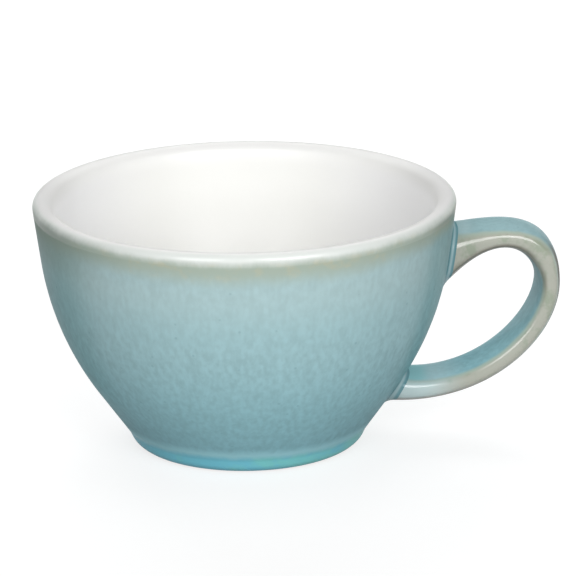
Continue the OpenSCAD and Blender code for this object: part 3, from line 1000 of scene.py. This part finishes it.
def softbox(name, bearing, elevation, width, level):
    """Lamp aimed at the cup from a bearing, counted from the front to the right, and an elevation."""
    along = LAMP_DISTANCE * math.cos(elevation)
    height = LAMP_DISTANCE * math.sin(elevation)
    place = Vector((along * math.sin(bearing), -along * math.cos(bearing), height))
    bpy.ops.object.light_add(type="AREA", location=place)
    lamp = bpy.context.object
    lamp.name = lamp.data.name = name
    lamp.rotation_euler = (-place).to_track_quat("-Z", "Y").to_euler()
    lamp.data.shape = "RECTANGLE"
    lamp.data.size = width
    lamp.data.size_y = LAMP_LENGTH
    lamp.data.energy = level * (math.pi * LAMP_DISTANCE) ** 2
    return lamp


class CUP_OT_stage(bpy.types.Operator):
    """Sets up the floor, the backdrop, the lamps, the even light all round and the camera"""

    bl_idname = "cup.stage"
    bl_label = "Set the Stage"

    def execute(self, context):
        stage = context.scene.cup_stage
        self.add_floor(stage)
        self.add_lamps(stage)
        self.add_camera(context, stage)
        context.scene.view_settings.view_transform = "Standard"
        return {"FINISHED"}

    def add_floor(self, stage):
        bpy.ops.object.select_all(action="DESELECT")
        bpy.ops.mesh.primitive_circle_add(vertices=FLOOR_SIDES, radius=FLOOR_RADIUS, fill_type="NGON",
                                          location=(0, 0, -FLOOR_GAP))
        floor = bpy.context.object
        floor.name = "floor"
        bpy.ops.mesh.primitive_cylinder_add(vertices=FLOOR_SIDES, radius=FLOOR_RADIUS, depth=BACKDROP_HEIGHT,
                                            end_fill_type="NOTHING", location=(0, 0, BACKDROP_HEIGHT / 2))
        backdrop = bpy.context.object
        backdrop.name = "backdrop"
        look = Look("pale_floor")
        # The white is there for the eye and for mirrored or clear views, and lights nothing else
        path = look.node("ShaderNodeLightPath").outputs
        clear = look.math("MAXIMUM", path["Is Glossy Ray"], path["Is Transmission Ray"])
        seen = look.math("MAXIMUM", path["Is Camera Ray"], clear)
        far = look.ramp(look.radius(), *GLOW_RANGE, stage.floor_glow)
        look.set(Base_Color=stage.floor, Roughness=0.9, Specular_IOR_Level=0.0,
                 Emission_Color=(1, 1, 1), Emission_Strength=look.times(seen, far))
        for piece in (floor, backdrop):
            piece.data.materials.append(look.material)

    def add_lamps(self, stage):
        left = -stage.camera_swing - stage.lamp_spread
        right = -stage.camera_swing + stage.lamp_spread
        softbox("left_softbox", left, stage.lamp_height, LEFT_LAMP_WIDTH, stage.left_level)
        softbox("right_softbox", right, stage.lamp_height, LAMP_WIDTH, stage.right_level)
        for side, turn in (("left", -stage.fill_bearing), ("right", stage.fill_bearing)):
            fill = softbox(f"back_{side}_softbox", turn, stage.fill_height, LAMP_WIDTH, stage.fill_level)
            fill.visible_glossy = False
        overhead = softbox("overhead_softbox", 0.0, math.pi / 2, LAMP_WIDTH, stage.top_level)
        overhead.visible_glossy = False
        world = bpy.data.worlds.new("studio")
        world.use_nodes = True
        background = next(node for node in world.node_tree.nodes if node.type == "BACKGROUND")
        background.inputs["Color"].default_value = (1, 1, 1, 1)
        background.inputs["Strength"].default_value = stage.ambient
        bpy.context.scene.world = world

    def add_camera(self, context, stage):
        swing = stage.camera_swing
        place = Vector((-math.sin(swing) * stage.camera_distance, -math.cos(swing) * stage.camera_distance,
                        stage.camera_height))
        bpy.ops.object.camera_add(location=place)
        camera = bpy.context.object
        camera.name = "camera"
        turn = (Matrix.Rotation(-stage.camera_yaw, 4, "Z")
                @ Matrix.Rotation(math.pi / 2 - stage.camera_pitch, 4, "X")
                @ Matrix.Rotation(stage.camera_roll, 4, "Z"))
        camera.matrix_world = Matrix.Translation(place) @ turn
        camera.data.sensor_width = SENSOR_WIDTH
        camera.data.lens = stage.lens
        camera.data.clip_start = CLIP_START
        context.scene.camera = camera


class CUP_PT_panel(bpy.types.Panel):
    """Lists the steps of the cup"""

    bl_idname = "CUP_PT_panel"
    bl_label = "Cappuccino Cup"
    bl_space_type = "VIEW_3D"
    bl_region_type = "UI"
    bl_category = "Cup"

    def draw(self, context):
        for operator in OPERATORS:
            self.layout.operator(operator.bl_idname)
        for name in GROUPS:
            group = getattr(context.scene, name)
            box = self.layout.box()
            for field in group.__annotations__:
                box.prop(group, field)


OPERATORS = (CUP_OT_clay, CUP_OT_liner, CUP_OT_wall, CUP_OT_foot, CUP_OT_handle, CUP_OT_joints, CUP_OT_stage)
GROUPS = {
    "cup_bowl": CupBowlSizes,
    "cup_handle": CupHandleSizes,
    "cup_glaze": CupGlazeSizes,
    "cup_colours": CupColours,
    "cup_stage": CupStageSizes,
}


def register():
    for group in GROUPS.values():
        bpy.utils.register_class(group)
    for name, group in GROUPS.items():
        setattr(bpy.types.Scene, name, PointerProperty(type=group))
    for operator in OPERATORS:
        bpy.utils.register_class(operator)
    bpy.utils.register_class(CUP_PT_panel)


def unregister():
    bpy.utils.unregister_class(CUP_PT_panel)
    for operator in reversed(OPERATORS):
        bpy.utils.unregister_class(operator)
    for name in GROUPS:
        delattr(bpy.types.Scene, name)
    for group in reversed(GROUPS.values()):
        bpy.utils.unregister_class(group)


def main():
    register()
    bpy.ops.cup.clay()
    bpy.ops.cup.liner()
    bpy.ops.cup.wall()
    bpy.ops.cup.foot()
    bpy.ops.cup.handle()
    bpy.ops.cup.joints()
    bpy.ops.cup.stage()


if __name__ == "__main__":
    main()
